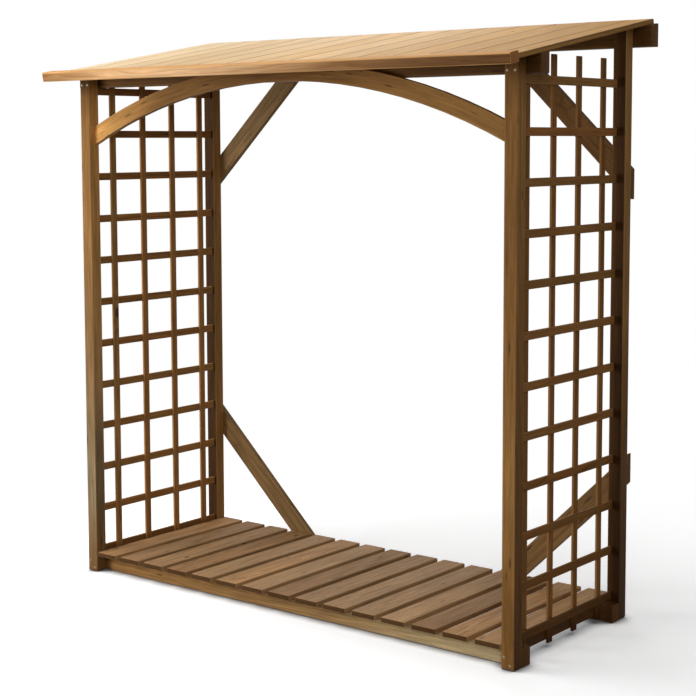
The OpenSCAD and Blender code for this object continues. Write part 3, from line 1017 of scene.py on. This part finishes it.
class LOGSTORE_OT_lattices(bpy.types.Operator):
    """Makes the two lattice sides, lath by lath"""

    bl_idname = "logstore.lattices"
    bl_label = "Lattice sides"

    def execute(self, context):
        arris = context.scene.log_store_timber.lath_arris
        for side, name in LATTICES.items():
            low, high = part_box(name)
            draw = random.Random(SEEDS["lattices"] + side)
            outer, inner = (high.x, low.x) if side > 0 else (low.x, high.x)
            thick = (high.x - low.x) / 2
            bm = new_timber()
            levels = edges_along(name, 0, outer, 2)
            first_seed = SEEDS["level_laths"] + LATTICE_SEED_STEP * side
            for k, (z0, z1) in enumerate(levels):
                outline = eased_outline(centred(z1 - z0, thick), arris, LATH_MARGIN)
                slack = draw.uniform(-LATH_SLACK, LATH_SLACK)
                origin = Vector((outer - side * thick / 2, low.y, (z0 + z1) / 2 + slack))
                spine = straight(origin, AXIS_Y, AXIS_Z, AXIS_X)
                tone = draw.uniform(0, LEVEL_TONE_SPREAD)
                dip = between(LEVEL_DIPS_AND_SHADE[side], k / (len(levels) - 1)) + draw.uniform(0, LATH_DIP_SPREAD)
                if k == 0:
                    dip += LOWEST_LATH_DAMP_AND_SHADE
                add_timber(bm, outline, spine, high.y - low.y, first_seed + k, tone, dip, ease=LATH_EASE)
            first_seed = SEEDS["upright_laths"] + LATTICE_SEED_STEP * side
            for k, (y0, y1) in enumerate(edges_along(name, 0, inner, 1)):
                outline = eased_outline(centred(y1 - y0, thick), arris, LATH_MARGIN)
                slack = draw.uniform(-LATH_SLACK, LATH_SLACK)
                origin = Vector((inner + side * thick / 2, (y0 + y1) / 2 + slack, low.z))
                spine = straight(origin, AXIS_Z, AXIS_Y, AXIS_X)
                tone = draw.uniform(0, UPRIGHT_TONE_SPREAD)
                more = draw.uniform(0, LATH_DIP_SPREAD)
                dip = with_foot([d + more for d in UPRIGHT_DIPS_AND_SHADE[side]], LATH_FOOT, LATH_FOOT_DAMP_AND_SHADE)
                add_timber(bm, outline, spine, high.z - low.z, first_seed + k, tone, dip, ease=LATH_EASE)
            place_piece(bm, f"{name}_laths", LATH_WOOD, name)
        return {"FINISHED"}


class LOGSTORE_OT_arch(bpy.types.Operator):
    """Makes the arched front board, cut plumb at the posts and level under the roof"""

    bl_idname = "logstore.arch"
    bl_label = "Front arch"

    def execute(self, context):
        props = context.scene.log_store_timber
        low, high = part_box("front_arch")
        half = (high.x - low.x) / 2
        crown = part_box("front_top_rail")[0].z
        rise = crown - low.z
        radius = (half * half + rise * rise) / (2 * rise)
        width = props.arch_width
        span = 2 * radius * math.asin(half / radius)
        centre_z = crown - radius
        middle_y = (low.y + high.y) / 2

        def spine(along, a, b):
            reach = math.asin(min(half / (radius + a), 1.0))
            angle = (2 * along / span - 1) * reach
            room = (high.z - centre_z) / math.cos(angle) - radius
            out = radius + a * min(1.0, room / width)
            return Vector((out * math.sin(angle), middle_y + b, centre_z + out * math.cos(angle)))

        thick = high.y - low.y
        outline = eased_outline(rectangle(0, width, -thick / 2, thick / 2), props.board_arris)
        shape = (outline, spine, span)
        seed = SEEDS["arch"]
        place_timber("front_arch", "board", FRAME_WOOD, *shape, seed, ARCH_TONES_AND_LIGHT, ARCH_DIPS_AND_SHADE, bow=0.0)
        return {"FINISHED"}


def brace_post_end(name):
    """Which side a brace is on, its outer face, and the heights of its plumb end's corners."""
    low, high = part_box(name)
    side = 1 if high.x > -low.x else -1
    outer = high.x if side > 0 else low.x
    heights = [c.z for c in corners_of(name) if abs(c.x - outer) < SAME_PLACE]
    return side, outer, min(heights), max(heights)


class LOGSTORE_OT_braces(bpy.types.Operator):
    """Makes the four rear braces, cut plumb at the posts and level at the rail and the floor"""

    bl_idname = "logstore.braces"
    bl_label = "Rear braces"

    def execute(self, context):
        arris = context.scene.log_store_timber.board_arris
        for seed, (name, (tone, dip, grey)) in enumerate(BRACES.items(), SEEDS["braces"]):
            low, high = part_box(name)
            side, outer, post_low, post_high = brace_post_end(name)
            level = high.z if name.startswith("upper") else low.z
            at_level = [abs(c.x) for c in corners_of(name) if abs(c.z - level) < SAME_PLACE]
            level_x = (min(at_level) + max(at_level)) / 2
            run = abs(outer) - level_x
            climb = (post_low + post_high) / 2 - level
            width = (post_high - post_low) * math.cos(math.atan2(abs(climb), run))
            thick = high.y - low.y
            along = Vector((side * run, 0, climb)).normalized()
            across = Vector((-along.z * side, 0, along.x * side))
            origin = Vector((side * level_x, (low.y + high.y) / 2, level))
            outline = eased_outline(centred(width, thick), arris)
            spine = straight(origin, along, across, AXIS_Y)
            shape = (outline, spine, math.hypot(run, climb))
            cuts = ((-across.z / along.z, 0.0), (-across.x / along.x, 0.0))
            dips = with_back(dip, 1, thick / 2, BACK_DIP)
            place_timber(name, "board", FRAME_WOOD, *shape, seed, tone, dips, grey=grey, cuts=cuts)
        return {"FINISHED"}


class LOGSTORE_OT_batten(bpy.types.Operator):
    """Makes the eaves batten with its rounded nosing"""

    bl_idname = "logstore.batten"
    bl_label = "Eaves batten"

    def execute(self, context):
        props = context.scene.log_store_timber
        low, high = slope_box("eaves_batten")
        radii = [props.arris, props.arris, props.arris, props.nosing]
        outline = eased_outline(rectangle(low.y, high.y, low.z, high.z), radii)
        spine = straight(ROOF_PLANE @ Vector((low.x, 0, 0)), AXIS_X, UP_SLOPE, OFF_SLOPE)
        shape = (outline, spine, high.x - low.x)

        # Only the front takes the painted light and shade along the batten; its other faces keep one tone
        # and dip
        def tone(share, a, b):
            return between(BATTEN_TONES_AND_LIGHT, share) if a < low.y + SAME_PLACE else BATTEN_BACK_TONE

        def dip(share, a, b):
            return between(BATTEN_DIPS_AND_SHADE, share) if a < low.y + SAME_PLACE else BATTEN_BACK_DIP

        place_timber("eaves_batten", "timber", BATTEN_WOOD, *shape, SEEDS["batten"], tone, dip)
        return {"FINISHED"}


def rake_reading(left, right, dip):
    """Dip of a roof board, darker on the sawn edge that it shows at the left or the right of the roof."""

    def at(share, a, b):
        at_left = left is not None and a < left + SAME_PLACE
        at_right = right is not None and a > right - SAME_PLACE
        return RAKE_DIP if at_left or at_right else dip

    return at


class LOGSTORE_OT_roof(bpy.types.Operator):
    """Makes the tongued and grooved roof boards"""

    bl_idname = "logstore.roof"
    bl_label = "Roof boards"

    def execute(self, context):
        props = context.scene.log_store_timber
        names = numbered("roof_board_")
        boxes = [slope_box(n) for n in names]
        draw = random.Random(SEEDS["roof"])
        tongue = props.tongue_thickness / 2
        groove = tongue + props.groove_play
        for i, name in enumerate(names):
            low, high = boxes[i]
            last = i == len(names) - 1
            right = high.x if last else boxes[i + 1][0].x
            middle = (low.z + high.z) / 2
            corners = [(low.x, low.z), (right, low.z)]
            radii = [props.under_arris, props.under_arris]
            if not last:
                corners += rectangle(right, right + props.tongue, middle - tongue, middle + tongue)
                radii += SHARP
            corners += [(right, high.z), (low.x, high.z)]
            radii += [props.joint_arris, props.joint_arris]
            if i > 0:
                deep = low.x + props.tongue + props.groove_play
                corners += rectangle(low.x, deep, middle - groove, middle + groove)[::-1]
                radii += SHARP
            outline = eased_outline(corners, radii, BOARD_MARGIN)
            spine = straight(ROOF_PLANE @ Vector((0, low.y, 0)), UP_SLOPE, AXIS_X, OFF_SLOPE)
            shape = (outline, spine, high.y - low.y - draw.uniform(0, ROOF_LENGTH_SPREAD))
            share = i / (len(names) - 1)
            tone = between(ROOF_TONES_AND_SHEEN, share) + draw.uniform(0.0, ROOF_TONE_SPREAD)
            dip = between(ROOF_DIPS, share) + draw.uniform(0.0, ROOF_DIP_SPREAD)
            dips = rake_reading(low.x if i == 0 else None, right if last else None, dip)
            seed = SEEDS["roof_boards"] + i
            place_timber(name, "timber", ROOF_WOOD, *shape, seed, tone, dips, ease=BOARD_EASE, bow=0.0)
        return {"FINISHED"}


class LOGSTORE_OT_floor(bpy.types.Operator):
    """Makes the floor slats"""

    bl_idname = "logstore.floor"
    bl_label = "Floor slats"

    def execute(self, context):
        arris = context.scene.log_store_timber.board_arris
        draw = random.Random(SEEDS["floor"])
        for seed, name in enumerate(numbered("floor_slat_"), SEEDS["floor_slats"]):
            low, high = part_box(name)
            half = (high.x - low.x) / 2
            outline = eased_outline(rectangle(-half, half, low.z, high.z), arris)
            spine = straight(Vector((low.x + half, low.y, 0)), AXIS_Y, AXIS_X, AXIS_Z)
            shape = (outline, spine, high.y - low.y)
            tone = draw.uniform(0.0, SLAT_TONE_SPREAD)
            dip = draw.uniform(0.0, SLAT_DIP_SPREAD)
            place_timber(name, "timber", SLAT_WOOD, *shape, seed, tone, dip)
        return {"FINISHED"}


def add_head(bm, place, facing, diameter, proud, turn, recessed):
    """A round head in the wood, with a cross recess if it is a screw's."""
    outward = facing.normalized()
    side = outward.orthogonal().normalized()
    other = outward.cross(side)
    radius = diameter / 2

    def ring(arm, height, waist=None):
        """Verts round the head, as far out as arm, or as waist between the four arms of a recess."""
        verts = []
        for k in range(HEAD_SIDES):
            angle = turn + 2 * math.pi * k / HEAD_SIDES
            reach = (arm if waist is None or k % 4 == 0 else waist) * radius
            out = side * math.cos(angle) + other * math.sin(angle)
            verts.append(bm.verts.new(place + out * reach + outward * height))
        return verts

    rings = [ring(HEAD_SHANK, -radius), ring(1.0, 0.0), ring(HEAD_FLAT, proud)]
    if recessed:
        for (arm, waist), depth in ((RECESS_TOP, 0.0), (RECESS_BOTTOM, RECESS_DEPTH)):
            rings.append(ring(arm, proud - radius * depth, waist))
    else:
        rings.append(ring(CROWN_WIDTH, proud * CROWN_HEIGHT))
    for first, second in zip(rings, rings[1:]):
        for k in range(HEAD_SIDES):
            j = (k + 1) % HEAD_SIDES
            bm.faces.new((first[k], first[j], second[j], second[k])).smooth = not recessed
    bm.faces.new(rings[0][::-1])
    bm.faces.new(rings[-1])


class LOGSTORE_OT_fixings(bpy.types.Operator):
    """Makes the screws, nails and pins"""

    bl_idname = "logstore.fixings"
    bl_label = "Fixings"

    def execute(self, context):
        self.sizes = context.scene.log_store_fixings
        self.draw = random.Random(SEEDS["fixings"])
        self.frame_screws()
        self.floor_nails()
        self.lath_pins()
        return {"FINISHED"}

    def head(self, bm, place, facing, diameter, recessed=False):
        """One head, turned at random."""
        turn = self.draw.uniform(0, MOST_HEAD_TURN)
        add_head(bm, Vector(place), facing, diameter, self.sizes.proud, turn, recessed)

    def frame_screws(self):
        """Two screws where a post meets a rail or a bearer, and two in each end of a brace at a post."""
        bm = bmesh.new()
        size = self.sizes.screw_head
        half = self.sizes.screw_gap / 2
        bearer_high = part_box("front_floor_bearer")[1].z
        front_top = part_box("front_top_rail")[0].z + FRONT_SCREW_RISE
        rear_low, rear_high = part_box("rear_top_rail")
        for name in POSTS:
            low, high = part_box(name)
            middle = (low.x + high.x) / 2
            if name.startswith("front"):
                facing, foot_y, top_y, top_z = -AXIS_Y, low.y, low.y, front_top
            else:
                facing, foot_y, top_y, top_z = AXIS_Y, high.y, rear_high.y, rear_low.z + REAR_SCREW_RISE
            places = [
                (middle - half, top_y, top_z),
                (middle + half, top_y, top_z),
                (middle - half, foot_y, bearer_high * FOOT_SCREWS[0]),
                (middle + half * FOOT_SCREW_ASIDE, foot_y, bearer_high * FOOT_SCREWS[1]),
            ]
            for place in places:
                self.head(bm, place, facing, size, True)
        for name in BRACES:
            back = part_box(name)[1].y
            side, outer, post_low, post_high = brace_post_end(name)
            lean = 1 if name.startswith("upper") else -1
            x = outer - side * BRACE_SCREW_IN
            z = (post_low + post_high) / 2 + lean * BRACE_SCREW_IN
            for step in (-BRACE_SCREW_STEP, BRACE_SCREW_STEP):
                self.head(bm, (x + side * step * BRACE_SCREW_SLANT, back, z + step), AXIS_Y, size, True)
        place_piece(bm, "frame_screws", ZINC)

    def floor_nails(self):
        """Two nails through each slat into each bearer."""
        bm = bmesh.new()
        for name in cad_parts:
            if not name.startswith("floor_slat_"):
                continue
            low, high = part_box(name)
            for bearer in BEARERS:
                first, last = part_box(bearer)
                y = (first.y + last.y) / 2
                for x in (low.x + NAIL_IN, high.x - NAIL_IN):
                    shake = self.draw.uniform(-NAIL_SHAKE, NAIL_SHAKE)
                    self.head(bm, (x, y + shake, high.z), AXIS_Z, self.sizes.nail_head)
        place_piece(bm, "floor_nails", RUST)

    def lath_pins(self):
        """A pin where each two laths cross, driven from outside."""
        bm = bmesh.new()
        for side, name in LATTICES.items():
            low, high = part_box(name)
            outer, inner = (high.x, low.x) if side > 0 else (low.x, high.x)
            for z0, z1 in edges_along(name, 0, outer, 2):
                for y0, y1 in edges_along(name, 0, inner, 1):
                    shake = self.draw.uniform(-PIN_SHAKE, PIN_SHAKE)
                    place = (outer, (y0 + y1) / 2 + shake, (z0 + z1) / 2 - shake)
                    self.head(bm, place, AXIS_X * side, self.sizes.pin_head)
        place_piece(bm, "lath_pins", RUST)


def seen_directly(tree):
    """A value that is 1 for rays from the camera and for those that metal or glass sends on, and else 0."""
    path = node(tree, "LightPath").outputs
    seen = node(tree, "Math", {0: path["Is Camera Ray"], 1: path["Is Glossy Ray"]}, operation="MAXIMUM")
    return node(tree, "Math", {0: seen, 1: path["Is Transmission Ray"]}, operation="MAXIMUM")


class LOGSTORE_OT_stage(bpy.types.Operator):
    """Makes the camera, the pale floor and the soft lamps"""

    bl_idname = "logstore.stage"
    bl_label = "Studio stage"

    def execute(self, context):
        scene = context.scene
        stage = scene.log_store_stage
        self.camera(scene, stage)
        self.floor(scene, stage)
        self.sky(scene, stage)
        for name, (place, size, power) in LAMPS.items():
            self.lamp(scene, name, Vector(place), size, getattr(stage, power))
        scene.view_settings.view_transform = "Standard"
        return {"FINISHED"}

    def camera(self, scene, stage):
        """A camera at the photograph's angle."""
        data = bpy.data.cameras.new("camera")
        data.sensor_width = SENSOR
        data.lens = stage.camera_lens
        data.shift_y = stage.camera_shift
        camera = bpy.data.objects.new("camera", data)
        scene.collection.objects.link(camera)
        roll = Matrix.Rotation(stage.camera_roll, 4, "Z")
        level = Matrix.Rotation(math.pi / 2 - stage.camera_dip, 4, "X") @ roll
        turned = Matrix.Rotation(stage.camera_turn, 4, "Z") @ level
        camera.matrix_world = Matrix.Translation(stage.camera_place) @ turned
        scene.camera = camera

    def floor(self, scene, stage):
        """A pale floor that fades to white far from the part, as a studio sweep does."""
        bm = bmesh.new()
        bmesh.ops.create_circle(bm, cap_ends=True, segments=FLOOR_SIDES, radius=stage.floor_radius)
        mesh = bpy.data.meshes.new("studio_floor")
        bm.to_mesh(mesh)
        bm.free()
        floor = bpy.data.objects.new("studio_floor", mesh)
        floor.location.z = -FLOOR_DROP
        scene.collection.objects.link(floor)
        # Matt paint, so that the soft shadow of the part shows on it, with a painted contact shade near the
        # part
        material, tree = new_material("Matt white studio floor")
        seen = seen_directly(tree)
        place = node(tree, "TexCoord").outputs["Object"]
        reach = node(tree, "VectorMath", {0: place}, operation="LENGTH").outputs["Value"]
        far = {1: FLOOR_FADE[0], 2: FLOOR_FADE[1], 3: FLOOR_FADED, 4: 1.0}
        fade = node(tree, "MapRange", {"Value": reach, **far}, **SMOOTH)
        # The contact shade is painted: ambient occlusion darkens the floor's colour and holds back its glow
        open_floor = node(tree, "AmbientOcclusion", {"Distance": stage.contact}).outputs["AO"]
        near = {1: CONTACT_OPEN[0], 2: CONTACT_OPEN[1], 3: CONTACT_LEFT, 4: 1.0}
        open_floor = node(tree, "MapRange", {"Value": open_floor, **near})
        fade = node(tree, "Math", {0: fade, 1: open_floor}, operation="MULTIPLY")
        fade = node(tree, "Math", {0: fade, 1: seen}, operation="MULTIPLY")
        white = (stage.floor_level, stage.floor_level, stage.floor_level, 1.0)
        colour = node(tree, "Mix", {0: seen, 6: stage.floor_bounce, 7: white}, **RGBA).outputs[2]
        colour = node(tree, "Mix", {0: seen, 6: colour, 7: open_floor}, **TINT).outputs[2]
        matt = node(tree, "BsdfDiffuse", {"Color": colour})
        glow = node(tree, "Emission", {"Color": WHITE, "Strength": 1.0})
        both = node(tree, "MixShader", {0: fade, 1: matt, 2: glow})
        node(tree, "OutputMaterial", {"Surface": both})
        mesh.materials.append(material)

    def sky(self, scene, stage):
        """Even light all round that looks white."""
        world = bpy.data.worlds.new("studio_sky")
        world.use_nodes = True
        tree = world.node_tree
        tree.nodes.clear()
        levels = {1: 0.0, 2: 1.0, 3: stage.sky, 4: 1.0}
        strength = node(tree, "MapRange", {"Value": seen_directly(tree), **levels})
        light = node(tree, "Background", {"Color": WHITE, "Strength": strength})
        node(tree, "OutputWorld", {"Surface": light})
        scene.world = world

    def lamp(self, scene, name, place, size, power):
        """A round soft lamp that shines on the middle of the part."""
        data = bpy.data.lights.new(name, "AREA")
        data.shape = "DISK"
        data.size = size
        data.energy = power
        lamp = bpy.data.objects.new(name, data)
        lamp.location = place
        lamp.rotation_euler = (LAMP_AIM - place).to_track_quat("-Z", "Y").to_euler()
        scene.collection.objects.link(lamp)


GROUPS = {
    "log_store_timber": LogStoreTimber,
    "log_store_colours": LogStoreColours,
    "log_store_fixings": LogStoreFixings,
    "log_store_stage": LogStoreStage,
}
OPERATORS = (
    LOGSTORE_OT_posts,
    LOGSTORE_OT_rails,
    LOGSTORE_OT_bearers,
    LOGSTORE_OT_cleats,
    LOGSTORE_OT_lattices,
    LOGSTORE_OT_arch,
    LOGSTORE_OT_braces,
    LOGSTORE_OT_batten,
    LOGSTORE_OT_roof,
    LOGSTORE_OT_floor,
    LOGSTORE_OT_fixings,
    LOGSTORE_OT_stage,
)


class LOGSTORE_PT_sidebar(bpy.types.Panel):
    """Lists what the log store is made of"""

    bl_idname = "LOGSTORE_PT_sidebar"
    bl_label = "Log store"
    bl_space_type = "VIEW_3D"
    bl_region_type = "UI"
    bl_category = "Log store"

    def draw(self, context):
        for operator in OPERATORS:
            self.layout.operator(operator.bl_idname)
        for group in GROUPS:
            box = self.layout.box()
            settings = getattr(context.scene, group)
            for key in settings.bl_rna.properties.keys():
                if key not in ("rna_type", "name"):
                    box.prop(settings, key)


def register():
    """Registers the classes and hangs the settings on the scene."""
    for name, group in GROUPS.items():
        bpy.utils.register_class(group)
        setattr(bpy.types.Scene, name, bpy.props.PointerProperty(type=group))
    for cls in (*OPERATORS, LOGSTORE_PT_sidebar):
        bpy.utils.register_class(cls)


def unregister():
    """Takes the settings and the classes away again."""
    for cls in reversed((*OPERATORS, LOGSTORE_PT_sidebar)):
        bpy.utils.unregister_class(cls)
    for name, group in reversed(GROUPS.items()):
        delattr(bpy.types.Scene, name)
        bpy.utils.unregister_class(group)


def main():
    """Makes every piece in order, then the stage."""
    register()
    bpy.ops.logstore.posts()
    bpy.ops.logstore.rails()
    bpy.ops.logstore.bearers()
    bpy.ops.logstore.cleats()
    bpy.ops.logstore.lattices()
    bpy.ops.logstore.arch()
    bpy.ops.logstore.braces()
    bpy.ops.logstore.batten()
    bpy.ops.logstore.roof()
    bpy.ops.logstore.floor()
    bpy.ops.logstore.fixings()
    bpy.ops.logstore.stage()


if __name__ == "__main__":
    main()
